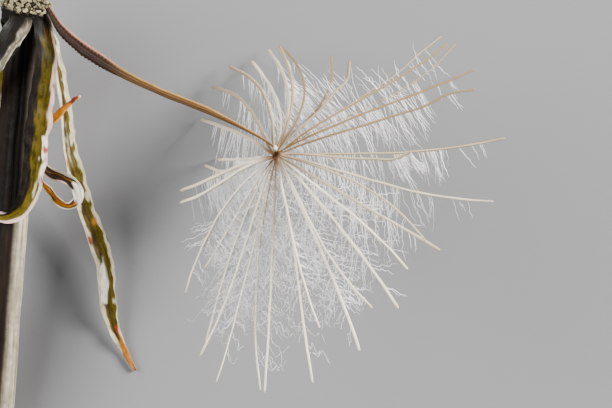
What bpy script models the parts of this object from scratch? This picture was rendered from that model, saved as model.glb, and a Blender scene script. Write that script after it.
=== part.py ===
"""A spent goat's-beard seed head, picked and lying on a surface, with its last seed still on.

The stem lies along Y with its cut end at -Y. The umbrella of the one remaining seed opens at +X.
Lengths are in millimetres until they reach Blender. Places are measured in plan from the hub of
the umbrella, and heights from the surface that everything lies on. At the end an empty moves all
of it so that the origin is under the middle of the object's box.
"""

import math

import bmesh
import bpy
import numpy as np
from mathutils import Vector

MM = 0.001
COLLECTION = "dandelion_seed_head"

# The umbrella (pappus) of the seed
HUB_HEIGHT = 22.3
OPENS_TOWARDS = math.radians(-38)  # compass direction in plan that the umbrella opens to
OPENS_DOWN = math.radians(37.5)  # how far below level its axis points
COLLAR_RADIUS = 0.5
COLLAR_HALF = 0.28
RING_RADIUS = 0.72  # where the rays leave the collar
WHORL_STEP = 0.15  # the rays leave it in two whorls, this far apart
RAY_RADIUS = 0.128
RAY_BASE_SHARE = 0.56  # how thick a ray is where it leaves the collar, and at its tip
RAY_TIP_SHARE = 0.8
RAY_FILLS_OUT = 0.12  # the share of its length by which it has its full thickness
RAY_POINTS = 11
RAY_CROWDING = 1.3  # above 1 puts a ray's points closer together near the collar
HOOK_FROM = 0.8  # a hooked ray bends sideways and back beyond this share of its length
HOOKS = {8: -0.7, 9: 0.3, 13: 0.7, 15: -0.45}  # ray number: how far sideways
BASE_BLEND = 5  # how soon a ray leaves its place on the collar for its own line
SETS_OUT = 0.12  # the share of its length at which a ray's first direction is read

# Each ray: (compass direction of the tip in degrees, its distance in plan, its height above the
# hub, the sideways sway at one third and at two thirds of the way, relative thickness)
RAYS = (
    (133, 10.6, -21.6, -0.8, -1.4, 1.1),
    (118, 11.3, -21.0, -1.4, -1.9, 1.1),
    (105, 11.0, -21.7, -1.5, -1.35, 1.0),
    (95, 12.0, -21.3, -1.55, -1.75, 1.1),
    (89, 12.3, -18.5, -1.3, -1.5, 1.0),
    (87, 12.1, -19.6, -2.0, -2.6, 0.9),
    (62, 12.7, -19.0, -0.9, -1.6, 1.0),
    (53, 13.3, -17.4, -0.3, -0.8, 1.0),
    (36, 22.5, -9.5, 0.0, -0.4, 0.9),
    (33.5, 22.5, -5.3, 0.3, -0.2, 1.1),
    (32, 23.4, -8.0, -0.3, -1.1, 0.7),
    (23.5, 23.9, -3.0, 0.5, 0.2, 1.1),
    (18.5, 23.0, 2.0, 0.2, 0.0, 1.0),
    (4.5, 25.2, 1.0, -0.5, -0.7, 1.0),
    (2.0, 14.7, 5.0, -0.15, -0.7, 1.1),
    (-12, 24.2, 8.0, -0.3, -0.7, 1.1),
    (-30, 18.8, 14.4, 1.5, 1.7, 0.9),
    (-30, 20.6, 12.6, 0.0, 0.0, 1.2),
    (-41, 18.9, 14.5, 0.4, 0.6, 1.0),
    (-51.5, 21.3, 12.2, 0.5, 0.5, 1.2),
    (-58, 19.6, 13.2, -0.6, -0.9, 0.9),
    (-67, 23.2, 8.6, 0.3, 0.4, 1.3),
    (-76, 19.4, 12.0, -0.4, -0.5, 0.9),
    (-81, 25.2, 5.5, 0.3, 0.1, 1.1),
    (-93, 26.0, 1.6, 0.0, 0.1, 1.1),
    (-94, 25.9, -2.4, -1.1, -1.2, 0.9),
    (-105, 25.8, 0.4, 0.0, 0.2, 0.7),
    (-111, 23.6, -4.5, 0.1, 0.5, 1.3),
    (-111, 22.0, -8.0, -0.9, -0.7, 1.0),
    (-124, 18.3, -13.5, -1.6, -1.4, 1.0),
    (-123, 14.9, -17.5, -0.3, -0.1, 1.1),
    (-160.5, 11.4, -20.9, -0.45, -0.15, 1.2),
    (-154.5, 12.0, -19.4, -0.4, 0.1, 1.1),
    (-173, 8.1, -21.9, 0.3, 0.9, 1.0),
    (-177, 6.6, -22.2, 0.1, 0.1, 1.0),
    (154, 9.5, -22.0, -0.4, -0.3, 1.1),
)

# How round each kind of rod is: its section has 4 sides and 2 more for each step
RAY_ROUNDNESS = 1
SEED_ROUNDNESS = 2
STEM_ROUNDNESS = 4
SPAN_SAMPLES = 24  # how finely a smooth path is read between two of its given points

# The seed: the knobbly achene runs on as a long beak that arches over to the hub
SEED_PATH = (
    (-25.3, 16.3, 11.1),
    (-24.1, 14.3, 12.0),
    (-22.0, 12.3, 13.6),
    (-17.8, 9.5, 17.2),
    (-12.9, 7.1, 21.0),
    (-6.8, 4.6, 24.2),
    (-3.2, 2.4, 24.2),
    (-0.26, 0.24, 22.59),
)
SEED_RADII = (0.25, 0.55, 0.66, 0.62, 0.46, 0.39, 0.37, 0.36, 0.33, 0.26, 0.2)
SEED_POINTS = 30

# The stem and the knob that the seeds grew on
STEM_PATH = ((-28.0, 13.6, 8.9), (-28.7, 5.0, 7.8), (-29.9, -10.0, 5.4), (-31.4, -30.0, 2.0))
STEM_RADII = (2.1, 2.05, 2.0, 1.95)
STEM_POINTS = 15
KNOB_CENTRE = Vector((-27.9, 16.0, 9.3))
KNOB_RADII = (2.8, 2.3, 2.7)
KNOB_BUMPS = 60
KNOB_COVER = 1.25  # how far down the bumps go, as a share of the knob's half height
GOLDEN_TURN = math.radians(137.5)  # the turn from each bump to the next
BUMP_HEIGHT = 0.22
BUMP_REACH = 0.42

# The eight withered bracts: path from the knob's rim to the tip, half widths at even steps from
# base to tip, which way the outer face looks at the base, twist along the length in degrees, and
# cupping across (negative where the edges stand up from the outer face)
BRACT_THICKNESS = 0.28
BRACT_COLUMNS = 4
ROWS_PER_POINT = 3
BRACTS = {
    "bract_front": (
        ((-26.3, 14.4, 11.2), (-25.8, 11.0, 11.9), (-26.2, 7.2, 11.5), (-26.8, 2.8, 10.8),
         (-27.0, -0.5, 10.0), (-27.5, -3.8, 9.2), (-28.6, -6.1, 8.8), (-30.5, -6.8, 8.7),
         (-32.3, -6.0, 8.8)),
        (1.1, 1.4, 1.45, 1.3, 1.0, 0.3), (0.57, 0.0, 0.82), 30, -0.3,
    ),
    "bract_long": (
        ((-25.4, 14.4, 9.8), (-24.8, 11.5, 9.8), (-24.3, 8.3, 8.9), (-23.8, 4.8, 7.7),
         (-23.4, 1.0, 6.5), (-22.3, -3.7, 5.0), (-20.9, -7.6, 3.7), (-19.4, -12.0, 2.3),
         (-19.1, -16.0, 1.4), (-18.2, -19.4, 0.7), (-16.0, -23.7, 0.2)),
        (0.6, 0.8, 0.95, 1.05, 0.9, 0.1), (0.82, 0.0, 0.57), 50, -0.5,
    ),
    "bract_left": (
        ((-28.8, 14.2, 12.0), (-29.9, 12.4, 12.6), (-31.5, 10.4, 12.4), (-33.6, 7.8, 10.6),
         (-36.0, 4.9, 7.4), (-37.7, 2.2, 3.2), (-38.8, -0.9, 0.8), (-39.0, -4.4, 0.2)),
        (1.2, 1.45, 1.45, 1.0, 0.1), (-0.1, 0.0, 1.0), 10, -0.35,
    ),
    "bract_spike": (
        ((-25.4, 14.4, 8.4), (-25.8, 10.0, 8.6), (-25.95, 6.5, 8.9), (-25.9, 4.4, 9.2),
         (-25.2, 3.8, 9.4), (-23.8, 5.2, 9.9), (-22.0, 6.7, 10.4)),
        (0.5, 0.6, 0.55, 0.5, 0.08), (0.97, 0.0, -0.26), 0, 0.2,
    ),
    "bract_loop": (
        ((-26.4, 14.4, 7.2), (-26.1, 9.5, 6.3), (-26.2, 4.5, 6.0), (-26.3, 0.9, 6.6),
         (-25.6, -1.6, 7.4), (-23.8, -2.2, 8.0), (-22.3, -3.1, 8.0), (-21.8, -4.5, 7.4),
         (-22.8, -5.6, 6.8), (-24.1, -5.2, 6.8), (-25.2, -4.0, 7.0), (-26.0, -2.9, 7.3)),
        (0.5, 0.6, 0.55, 0.6, 0.5, 0.35), (0.7, 0.0, -0.7), 0, 0.25,
    ),
    "bract_far_left": (
        ((-30.4, 14.4, 8.2), (-32.5, 10.6, 6.4), (-34.2, 6.0, 3.6), (-35.0, 1.0, 1.4),
         (-35.2, -4.0, 0.4), (-34.9, -8.0, 0.2)),
        (0.9, 1.1, 0.8, 0.1), (-0.94, 0.0, -0.34), -70, 0.4,
    ),
    "bract_under_left": (
        ((-29.0, 14.4, 6.7), (-29.9, 11.6, 4.3), (-30.8, 8.2, 1.8), (-31.4, 4.0, 0.5),
         (-31.8, -1.0, 0.15)),
        (0.8, 1.0, 0.7, 0.1), (-0.42, 0.0, -0.9), 0, -0.35,
    ),
    "bract_under_right": (
        ((-27.3, 14.4, 6.6), (-27.1, 11.4, 4.2), (-26.9, 7.6, 1.8), (-26.8, 3.0, 0.5),
         (-27.2, -3.0, 0.15)),
        (0.7, 1.0, 0.7, 0.1), (0.26, 0.0, -0.97), 0, -0.35,
    ),
}

# Colour, roughness
COLOURS = {
    "stem": ((0.20, 0.14, 0.08), 0.8),
    "knob": ((0.62, 0.58, 0.45), 0.85),
    "bract": ((0.36, 0.31, 0.12), 0.7),
    "seed": ((0.34, 0.20, 0.12), 0.75),
    "collar": ((0.20, 0.11, 0.06), 0.8),
    "ray": ((0.70, 0.58, 0.44), 0.6),
}


def clear_scene():
    for thing in list(bpy.data.objects):
        bpy.data.objects.remove(thing, do_unlink=True)


def principled(slot, name):
    """A new Principled material for one piece, in the colour of its kind."""
    colour, roughness = COLOURS[slot]
    material = bpy.data.materials.new(name)
    material.use_nodes = True
    shader = material.node_tree.nodes["Principled BSDF"]
    shader.inputs["Base Color"].default_value = (*colour, 1)
    shader.inputs["Roughness"].default_value = roughness
    shader.inputs["Metallic"].default_value = 0
    return material


def place(name, data, slot, collection, parent):
    """Puts a mesh or a curve in the scene as the piece called name."""
    piece = bpy.data.objects.new(name, data)
    data.materials.append(principled(slot, name))
    collection.objects.link(piece)
    piece.parent = parent
    return piece


def smooth_path(points, count):
    """count points evenly spaced along a smooth curve through the given ones (Catmull-Rom)."""
    given = np.array(points, float)
    ends = np.vstack([2 * given[0] - given[1], given, 2 * given[-1] - given[-2]])
    dense = []
    for before, start, end, after in zip(ends, ends[1:], ends[2:], ends[3:]):
        for t in np.linspace(0, 1, SPAN_SAMPLES, endpoint=False):
            dense.append(
                0.5 * (2 * start + (end - before) * t
                       + (2 * before - 5 * start + 4 * end - after) * t**2
                       + (3 * start - 3 * end + after - before) * t**3)
            )
    dense = np.array(dense + [given[-1]])
    steps = np.linalg.norm(np.diff(dense, axis=0), axis=1)
    along = np.concatenate([[0], np.cumsum(steps)])
    wanted = np.linspace(0, along[-1], count)
    return np.column_stack([np.interp(wanted, along, dense[:, axis]) for axis in range(3)])


def tube(name, points, radii, resolution, slot, collection, parent):
    """A round rod with its own radius at each point, in millimetres."""
    curve = bpy.data.curves.new(name, "CURVE")
    curve.dimensions = "3D"
    curve.bevel_depth = MM
    curve.bevel_resolution = resolution
    curve.use_fill_caps = True
    spline = curve.splines.new("POLY")
    spline.points.add(len(points) - 1)
    for point, spot, radius in zip(spline.points, points, radii):
        point.co = (*(np.asarray(spot) * MM), 1)
        point.radius = radius
    return place(name, curve, slot, collection, parent)


def umbrella_axes():
    """Unit vectors: the umbrella's axis, and the two that span the plane of its collar."""
    level = Vector((math.cos(OPENS_TOWARDS), math.sin(OPENS_TOWARDS), 0))
    up = Vector((0, 0, 1))
    axis = level * math.cos(OPENS_DOWN) - up * math.sin(OPENS_DOWN)
    low = -level * math.sin(OPENS_DOWN) - up * math.cos(OPENS_DOWN)
    return axis, low, axis.cross(low)


def ray_curve(index, base, t):
    """The point a share t of the way along a ray from its base to its tip."""
    direction, distance, rise, sway_third, sway_two_thirds, _ = RAYS[index]
    turn = math.radians(direction)
    outward = Vector((math.cos(turn), math.sin(turn), 0))
    sideways = Vector((-math.sin(turn), math.cos(turn), 0))
    tip = outward * distance + Vector((0, 0, HUB_HEIGHT + rise))
    sway = 4.5 * t * (1 - t) * (sway_third * (2 - 3 * t) + sway_two_thirds * (3 * t - 1))
    hooked = max(t - HOOK_FROM, 0) / (1 - HOOK_FROM)
    sway += HOOKS.get(index + 1, 0) * math.sin(math.pi * hooked)
    hub = Vector((0, 0, HUB_HEIGHT))
    return hub.lerp(tip, t) + (base - hub) * (1 - t) ** BASE_BLEND + sideways * sway


def ray_bases():
    """Where each ray leaves the collar: evenly round it, in the order in which the rays set out."""
    axis, low, side = umbrella_axes()
    hub = Vector((0, 0, HUB_HEIGHT))
    bearings = []
    for index in range(len(RAYS)):
        start = ray_curve(index, hub, SETS_OUT) - hub
        bearings.append(math.atan2(start.dot(side), start.dot(low)))
    order = sorted(range(len(RAYS)), key=lambda index: bearings[index])
    bases = {}
    for slot, index in enumerate(order):
        turn = 2 * math.pi * slot / len(RAYS) - math.pi
        rim = low * math.cos(turn) + side * math.sin(turn)
        bases[index] = hub + rim * RING_RADIUS + axis * (slot % 2 - 0.5) * WHORL_STEP
    return bases


def ray_taper(t):
    """A ray's thickness a share t of the way along, as a share of its full thickness."""
    filling = min(RAY_BASE_SHARE + (1 - RAY_BASE_SHARE) * t / RAY_FILLS_OUT, 1)
    return filling * (1 - (1 - RAY_TIP_SHARE) * t**2)


def make_rays(collection, parent):
    bases = ray_bases()
    for index, ray in enumerate(RAYS):
        shares = [(step / (RAY_POINTS - 1)) ** RAY_CROWDING for step in range(RAY_POINTS)]
        points = [ray_curve(index, bases[index], t) for t in shares]
        radii = [RAY_RADIUS * ray[5] * ray_taper(t) for t in shares]
        tube(f"ray_{index + 1:02d}", points, radii, RAY_ROUNDNESS, "ray", collection, parent)


def make_collar(collection, parent):
    """The small disc that carries the rays: a flattened ball, facing along the umbrella's axis."""
    mesh = bpy.data.meshes.new("pappus_collar")
    shape = bmesh.new()
    bmesh.ops.create_uvsphere(shape, u_segments=14, v_segments=8, radius=COLLAR_RADIUS * MM)
    for vertex in shape.verts:
        vertex.co.z *= COLLAR_HALF / COLLAR_RADIUS
    axis = umbrella_axes()[0]
    turn = Vector((0, 0, 1)).rotation_difference(axis)
    bmesh.ops.rotate(shape, verts=shape.verts, matrix=turn.to_matrix())
    shape.to_mesh(mesh)
    shape.free()
    mesh.shade_smooth()
    collar = place("pappus_collar", mesh, "collar", collection, parent)
    collar.location = Vector((0, 0, HUB_HEIGHT)) * MM


def make_seed(collection, parent):
    points = smooth_path(SEED_PATH, SEED_POINTS)
    marks = np.linspace(0, 1, len(SEED_RADII))
    radii = np.interp(np.linspace(0, 1, SEED_POINTS), marks, SEED_RADII)
    tube("achene", points, radii, SEED_ROUNDNESS, "seed", collection, parent)


def make_stem(collection, parent):
    points = smooth_path(STEM_PATH, STEM_POINTS)
    marks = np.linspace(0, 1, len(STEM_RADII))
    radii = np.interp(np.linspace(0, 1, STEM_POINTS), marks, STEM_RADII)
    tube("stem", points, radii, STEM_ROUNDNESS, "stem", collection, parent)


def make_knob(collection, parent):
    """The receptacle: a low dome whose seed scars stand up as knobs, in a sunflower spiral."""
    mesh = bpy.data.meshes.new("receptacle")
    shape = bmesh.new()
    bmesh.ops.create_icosphere(shape, subdivisions=4, radius=1)
    bumps = []
    for index in range(KNOB_BUMPS):
        lift = 1 - KNOB_COVER * (index + 0.5) / KNOB_BUMPS
        turn = index * GOLDEN_TURN
        ring = math.sqrt(1 - lift**2)
        bumps.append(Vector((ring * math.cos(turn), lift, ring * math.sin(turn))))
    for vertex in shape.verts:
        nearest = min((vertex.co - bump).length for bump in bumps)
        rise = BUMP_HEIGHT * max(0, 1 - (nearest / BUMP_REACH) ** 2)
        spot = Vector(a * b for a, b in zip(vertex.co, KNOB_RADII))
        vertex.co = (spot + vertex.co * rise) * MM
    shape.to_mesh(mesh)
    shape.free()
    mesh.shade_smooth()
    knob = place("receptacle", mesh, "knob", collection, parent)
    knob.location = KNOB_CENTRE * MM


def make_bract(name, row, collection, parent):
    """A flat strip, bent along its path, turned about it and cupped across, then made solid."""
    path, widths, facing, twist, cup = row
    rows = ROWS_PER_POINT * len(path)
    points = smooth_path(path, rows)
    marks = np.linspace(0, 1, len(widths))
    half = np.interp(np.linspace(0, 1, rows), marks, widths)
    mesh = bpy.data.meshes.new(name)
    shape = bmesh.new()
    bmesh.ops.create_grid(shape, x_segments=BRACT_COLUMNS, y_segments=rows - 1, size=1)
    out = Vector(facing)
    places = []
    for index in range(rows):
        ahead = points[min(index + 1, rows - 1)] - points[max(index - 1, 0)]
        along = Vector(ahead).normalized()
        out = (out - along * out.dot(along)).normalized()
        turn = math.radians(twist) * index / (rows - 1)
        face = out * math.cos(turn) + along.cross(out) * math.sin(turn)
        places.append((Vector(points[index]), along.cross(face), face))
    for vertex in shape.verts:
        index = round((vertex.co.y + 1) / 2 * (rows - 1))
        centre, across, face = places[index]
        reach = vertex.co.x * half[index]
        bend = -cup * half[index] * vertex.co.x**2
        vertex.co = (centre + across * reach + face * bend) * MM
    bmesh.ops.recalc_face_normals(shape, faces=shape.faces)
    shape.to_mesh(mesh)
    shape.free()
    mesh.shade_smooth()
    bract = place(name, mesh, "bract", collection, parent)
    wall = bract.modifiers.new("Thickness", "SOLIDIFY")
    wall.thickness = BRACT_THICKNESS * MM
    wall.offset = 0


def box_of(pieces):
    """The lowest and highest corners of the finished pieces."""
    bpy.context.view_layer.update()
    graph = bpy.context.evaluated_depsgraph_get()
    corners = []
    for piece in pieces:
        finished = piece.evaluated_get(graph)
        mesh = finished.to_mesh()
        corners += [finished.matrix_world @ vertex.co for vertex in mesh.vertices]
        finished.to_mesh_clear()
    corners = np.array(corners)
    return corners.min(axis=0), corners.max(axis=0)


def main():
    clear_scene()
    collection = bpy.data.collections.new(COLLECTION)
    bpy.context.scene.collection.children.link(collection)
    frame = bpy.data.objects.new("lying_place", None)
    collection.objects.link(frame)
    make_stem(collection, frame)
    make_knob(collection, frame)
    for name, row in BRACTS.items():
        make_bract(name, row, collection, frame)
    make_seed(collection, frame)
    make_collar(collection, frame)
    make_rays(collection, frame)
    low, high = box_of([piece for piece in collection.objects if piece is not frame])
    frame.location = (-(low[0] + high[0]) / 2, -(low[1] + high[1]) / 2, -low[2])


main()
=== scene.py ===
"""The looks of a picked goat's-beard seed head lying on a pale floor, with its last seed still on.

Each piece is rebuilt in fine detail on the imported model's own solid. Its middle line and its size
are read from that solid, and ribs, knobs, wrinkles, side hairs and colours are added to them.
Lengths are in millimetres in the row frame until they reach Blender.
"""

import heapq
import math

import bmesh
import bpy
import numpy as np
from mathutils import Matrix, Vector


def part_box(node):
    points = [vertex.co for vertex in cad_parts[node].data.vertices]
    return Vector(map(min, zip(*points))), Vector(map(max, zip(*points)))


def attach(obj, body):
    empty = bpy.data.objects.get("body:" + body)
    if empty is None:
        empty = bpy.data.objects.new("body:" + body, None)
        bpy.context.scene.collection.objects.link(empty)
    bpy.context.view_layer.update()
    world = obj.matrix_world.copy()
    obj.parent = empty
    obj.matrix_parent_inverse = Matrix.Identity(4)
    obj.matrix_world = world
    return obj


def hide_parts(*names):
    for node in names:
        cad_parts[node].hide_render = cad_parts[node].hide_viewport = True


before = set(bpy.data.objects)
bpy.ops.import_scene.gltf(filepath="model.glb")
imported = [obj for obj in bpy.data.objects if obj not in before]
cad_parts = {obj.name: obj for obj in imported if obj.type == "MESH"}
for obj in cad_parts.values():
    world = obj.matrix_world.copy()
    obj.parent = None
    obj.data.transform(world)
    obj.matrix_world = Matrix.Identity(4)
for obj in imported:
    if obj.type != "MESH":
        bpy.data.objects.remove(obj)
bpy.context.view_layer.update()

MM = 0.001
SEED = 11

# Reading the solids: how many cuts are read from each, and how far from its ends they stop
RAY_STEPS = 15
BEAK_STEPS = 26
STEM_STEPS = 12
STRIP_STEPS = 44
CLEAR_OF_ENDS = {"ray": 0.006, "achene": 0.012, "stem": 0.03, "bract": 0.02}

# The rays and their side hairs
RAY_FOOT = 0.62  # how far from the hub's middle a ray's foot is, as a share of the solid's distance
RAY_WAVER = 0.03
RAY_WIDTH = 0.8  # a bristle's width at its foot, as a share of the solid's
STEEP_WIDER = 0.36  # how much wider the steep rays are
TIP_WIDER = 0.22  # how much wider a ray is at its tip, since dry tips stay blunt
BRISTLE_SIDES = 12
BRISTLE_STEP = 0.24  # between one ring of a bristle and the next
BRISTLE_FLATNESS = 0.24  # the share added to a bristle's width and taken off its depth
BRISTLE_RIBS, BRISTLE_RIB = 6, 0.07  # how many ribs, and their height as a share of its radius
ROUNDING = 12  # how many times a bristle's line is smoothed, which rounds off its bends
HAIR_POINTS = 12
HAIR_SIDES = 3
HAIRS_PER_MM = 4.4
HAIR_RADIUS = 0.037
HAIR_LENGTH, LENGTH_VARIES = 3.6, 0.28
HAIR_TILT, TILT_VARIES = 8, 13  # how many degrees the hairs head towards the ray's tip
TILT_LIMITS = (-25, 50)
HAIR_BEND = 0.16  # how much they vary in their bend along the ray
HAIR_DROOP = 0.4  # how far the hairs' own weight turns them down
HAIRS_BELOW = 1.5  # above 0, they start nearer to the ray's underside
COMBED_LEFT, COMBED_RIGHT = -88, -58  # which way the hairs are blown, in degrees from +X
COMBED_TURN = (-6, 4)  # between these distances from the hub along X the first becomes the second
COMBED = 0.45  # how strongly they are blown
COMBED_MORE = 0.35  # and how much more those of the rays that point up +Y
COMBED_SPREAD = 0.2  # how much that direction varies, in radians
LEE_SHARPNESS = 1.6  # above 1, a ray that isn't quite across the wind is hairy on one side only too
TOWARDS_FRINGE = np.array((0.64, 0.77))  # the rays that point this way are hairy on both sides
FRINGE_ALIGNED = (0.935, 0.965)  # the cosines of the angles to it at which this sets in
FRINGE_FROM = 0.45  # from this share of their length on
FRINGE_SHARE = 0.25  # the share of those hairs that are on the side that they aren't blown to
FRINGE_DROOP = 1.5  # how much more of HAIR_DROOP they have, which keeps them behind the rays
CLUMP_SPAN = 0.5  # hairs that start this close together cling to each other
CLUMP_ALIKE, HAIR_OWN = 0.75, 0.45  # how much of its random numbers a hair shares with its clump
CLUMP_GATHER = 0.8  # how far the ends of a clump's hairs are drawn together
CURL, CURL_LOWEST = 0.035, 0.22  # how far hairs swing about, and how much more on rays towards -Y
CURL_WAVES = (2.2, 1.7, 1.1)  # the lengths of their waves
HAIRY_FROM = 0.06  # the share of a ray's length where its hairs start and end
HAIRY_TO = 0.73
SPARSE_AT_HUB = 0.72  # below 1 leaves fewer hairs near the hub, where those of all the rays meet
SHORT_RAY = 17.0  # a ray shorter than this is hairy to its tip
NEAR_TIP = 0.99  # the share of its length where they end there
STRAYS, STRAYS_TO = 4, 0.9  # the number of single hairs past the others, and how far out they grow
TUFTS = {4: (0.62, 40), 15: (0.93, 110), 14: (0.66, 12), 22: (0.72, 20)}  # ray: where, hairs
TUFT_SPREAD = 0.035
VEIL_DENSER = 0.8  # how many more hairs the rays towards -X have that don't point up +Y
LOWER_SPARSER = 0.25  # how many fewer the rays towards -Y have
CROWDED_SPARSER = 0.5  # and the steep ones towards +Y, which stand close together
RIGHT_SPARSER = 0.3  # and those towards +X
BRISTLE_MAP, HAIR_MAP = (0.02, 0.4), (0.5, 0.45)  # where they are in a ray's texture, and how wide

# The collar, the achene, the stem and the knob
COLLAR_SIDES = 108
COLLAR_RINGS = 41
COLLAR_LOBES = 18
COLLAR_RADII = 3.1  # how many times its radius the diagonal of its box is
COLLAR_REACH, COLLAR_DEPTH = 1.15, 0.62  # half its size across and along its axis, in radii
ACHENE_SIDES = 30
ACHENE_RINGS = 420
ACHENE_RIBS = 10
SEED_TO_BEAK = (0.30, 0.46)  # the shares of its length that the seed narrows into its beak between
TEETH_STEP, TEETH_SHIFT = 0.55, 0.37  # from tooth to tooth, and from one rib's teeth to the next's
BEAK_STRIPES = 8
BEAK_FOOT = 0.5  # how far from the hub's middle its end is, as a share of the solid's distance
BEAK_HOOK = np.array((0.48, 0.38, 0.1))  # how far its end swings out before it turns into the hub
SWELLING_AT, SWELLING_SPAN = 0.977, 0.007  # the swelling before the hub, as shares of its length
STEM_SIDES = 72
STEM_RINGS = 190
STEM_GROOVES = 15
STEM_GRAIN = 1.6  # the radius of the tube that the stem's grain is read on
LIT_SIDE_BELOW = -3  # how far along Y from the hub the painted highlight on the stem's lit side starts to grow stronger
DARK_PITH = ((0.12, 1.9), (0.3, 1.7), (0.38, 1.1))  # rings: shares of the stem's radius, depths
PALE_PITH = ((0.42, 0.55), (0.62, 0.42), (0.86, 0.3))
KNOB_SUBDIVISIONS = 7
KNOB_BUMPS = 300
KNOB_COVER = 1.2  # how much of the height of a unit ball the scars take up, from the top down
KNOB_BUMP = 0.104  # the radius of a scar on a unit ball
KNOB_INSIDE = 0.3  # how much smaller the knob is than its solid, before its scars are added
KNOB_FULLNESS = 2.6  # above 2 fills the underside out towards the bracts
GOLDEN_TURN = math.radians(137.5)

# The bracts
BRACT_COLUMNS = 27
BRACT_STEP = 0.2  # between one row of a bract's points and the next
BRACT_WALL = 0.16  # its thickness in the middle and at its margins
BRACT_EDGE = 0.05
BRACT_VEINS, VEIN_HEIGHT = 8, 0.035
CRINKLES, MARGIN_WAVES = 0.07, 0.07  # the heights of its wrinkles and of its margins' waves
BRACT_SHADED = 0.07  # the share of a bract's length that is painted dark as shade, under the knob
NARROWEST = 0.08  # half the width of a bract at its sharpest
BRACT_ROOT = np.array((0.2, 0.7, 0.2))  # how far its foot reaches towards the knob's middle
FOOT_ROWS = 3  # the rows read from a bract's slanted foot, which is as wide as the row after them

# The floor and the camera
FLOOR_TONE = (0.145, 0.145, 0.147)
FLOOR_HALF_SIZE = 6  # in metres, unlike the rest
FLOOR_BELOW = 0.05
VIEW_WIDTH = 67.3
VIEW_FROM_HUB = (3.2, -5.3)  # the middle of the picture, in X and Y from the hub


def colour(red, green, blue):
    """A colour given as a screen shows it, 0 to 255, as the light that Blender works with."""
    shown = np.array((red, green, blue)) / 255
    return np.where(shown <= 0.04045, shown / 12.92, ((shown + 0.055) / 1.055) ** 2.4)


def unit(vectors):
    return vectors / np.maximum(np.linalg.norm(vectors, axis=-1, keepdims=True), 1e-9)


def dot(a, b):
    return (a * b).sum(axis=-1, keepdims=True)


def ease(low, high, value):
    """0 below low, 1 above high, and smooth between."""
    share = np.clip((value - low) / (high - low), 0, 1)
    return share * share * (3 - 2 * share)


def mix(first, second, share):
    share = np.asarray(share)[..., None]
    return first * (1 - share) + second * share


def wobble(rng, places, wavelength, waves=9):
    """A smooth random height from about -1 to 1 at each place, which varies over a wavelength."""
    places = np.asarray(places, float)
    directions = rng.normal(size=(waves, places.shape[-1])) / wavelength * 2.2
    phases = rng.uniform(0, 2 * math.pi, waves)
    return np.sin(places @ directions.T + phases).sum(axis=-1) / math.sqrt(waves)


def smooth(table, count):
    """Rows evenly spaced on a smooth curve through the rows of a table (Catmull-Rom)."""
    ends = np.vstack([2 * table[0] - table[1], table, 2 * table[-1] - table[-2]])
    at = np.linspace(0, len(table) - 1, count)
    row = np.minimum(at.astype(int), len(table) - 2)
    t = (at - row)[:, None]
    before, start, end, after = (ends[row + k] for k in range(4))
    return 0.5 * (
        2 * start
        + (end - before) * t
        + (2 * before - 5 * start + 4 * end - after) * t**2
        + (3 * start - 3 * end + after - before) * t**3
    )


def lengths_along(line):
    steps = np.linalg.norm(np.diff(line, axis=0), axis=1)
    return np.concatenate([[0], np.cumsum(steps)])


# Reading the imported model


def solid_of(node):
    """A CAD node's corners in millimetres, each once, and its edges as pairs of corners."""
    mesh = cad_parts[node].data
    places = np.empty(3 * len(mesh.vertices), np.float32)
    mesh.vertices.foreach_get("co", places)
    rounded = np.round(places.reshape(-1, 3) / MM, 4)
    corners, which = np.unique(rounded, axis=0, return_inverse=True)
    ends = np.empty(2 * len(mesh.edges), np.int32)
    mesh.edges.foreach_get("vertices", ends)
    edges = np.sort(which.reshape(-1)[ends].reshape(-1, 2), axis=1)
    return corners.astype(float), np.unique(edges[edges[:, 0] != edges[:, 1]], axis=0)


def middle_of(node):
    low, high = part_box(node)
    return np.array((low + high) / 2) / MM


def walk_from(start, corners, edges):
    """How far each corner is from one of them, walking along the edges."""
    beside = [[] for _ in corners]
    spans = np.linalg.norm(corners[edges[:, 0]] - corners[edges[:, 1]], axis=1)
    for (one, other), span in zip(edges, spans):
        beside[one].append((other, span))
        beside[other].append((one, span))
    walked = np.full(len(corners), np.inf)
    walked[start] = 0
    queue = [(0.0, start)]
    while queue:
        far, here = heapq.heappop(queue)
        if far > walked[here]:
            continue
        for there, span in beside[here]:
            if far + span < walked[there]:
                walked[there] = far + span
                heapq.heappush(queue, (far + span, there))
    return walked


def cut_at(level, field, corners, edges):
    """The points where a solid's edges cross one level of a field that runs along it."""
    first, last = field[edges[:, 0]], field[edges[:, 1]]
    crossing = (first < level) != (last < level)
    share = (level - first[crossing]) / (last[crossing] - first[crossing])
    start, end = corners[edges[crossing, 0]], corners[edges[crossing, 1]]
    return start + (end - start) * share[:, None]


def cuts_along(field, corners, edges, steps, clear):
    """The cuts at even steps from the field's low end to its high end."""
    low, high = field.min(), field.max()
    shares = np.linspace(clear, 1 - clear, steps)
    return [cut_at(low + (high - low) * share, field, corners, edges) for share in shares]


def out_to_ends(rows, clear):
    """Takes the first and last of some rows out to the ends that they stopped a share short of."""
    further = clear * (len(rows) - 1) / (1 - 2 * clear)
    reached = rows.copy()
    reached[0] += (rows[0] - rows[1]) * further
    reached[-1] += (rows[-1] - rows[-2]) * further
    return reached


def rod_of(node, field_of, steps, clear):
    """Rows of x, y, z and radius down the middle of a CAD rod, from its field's low end."""
    corners, edges = solid_of(node)
    rows = []
    for cut in cuts_along(field_of(corners), corners, edges, steps, clear):
        middle = cut.mean(axis=0)
        rows.append((*middle, np.linalg.norm(cut - middle, axis=1).mean()))
    return out_to_ends(np.array(rows), clear)


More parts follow.
